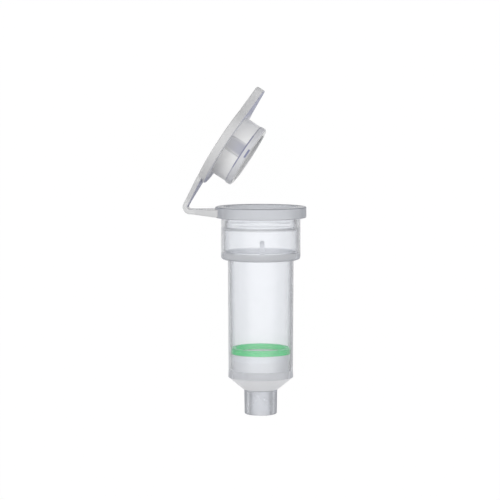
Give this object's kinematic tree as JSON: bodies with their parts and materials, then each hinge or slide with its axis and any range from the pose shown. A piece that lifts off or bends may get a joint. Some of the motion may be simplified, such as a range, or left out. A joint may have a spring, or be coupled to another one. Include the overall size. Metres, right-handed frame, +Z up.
{
  "type": "spin column",
  "caption": "Clear spin column with a hinged plug lid, wide collar, membrane held by a green ring, and a drain nozzle; it lies on its side with the lid open.",
  "frame": {"origin": "the floor point under the middle of the lying column's bounding box", "axes": "+Z is up; +Y runs along the column from nozzle to mouth, and the mouth end is raised by 4.6 degrees; the lid hangs towards -X"},
  "size_m": [0.0168, 0.0446, 0.0125],
  "materials": {
    "clear_polypropylene": "clear moulded, slightly hazy",
    "milky_polypropylene": "milky translucent, satin",
    "green_polypropylene": "translucent green, moulded",
    "silica_membrane": "matte fibre mat",
    "sintered_polyethylene": "matte, finely porous"
  },
  "bodies": {
    "column": {"column_body": "clear_polypropylene", "strap": "milky_polypropylene", "retaining_ring": "green_polypropylene", "membrane": "silica_membrane", "frit": "sintered_polyethylene"},
    "lid": {"lid": "milky_polypropylene"}
  },
  "joints": [
    {"name": "lid_hinge", "type": "hinge", "parent": "column", "child": "lid", "pos_m": [-0.00744, 0.00649, 0.0047], "axis": [-0.1658, -0.0794, 0.983], "range_deg": [-56.9, 123.1], "deforming": ["strap"]}
  ]
}
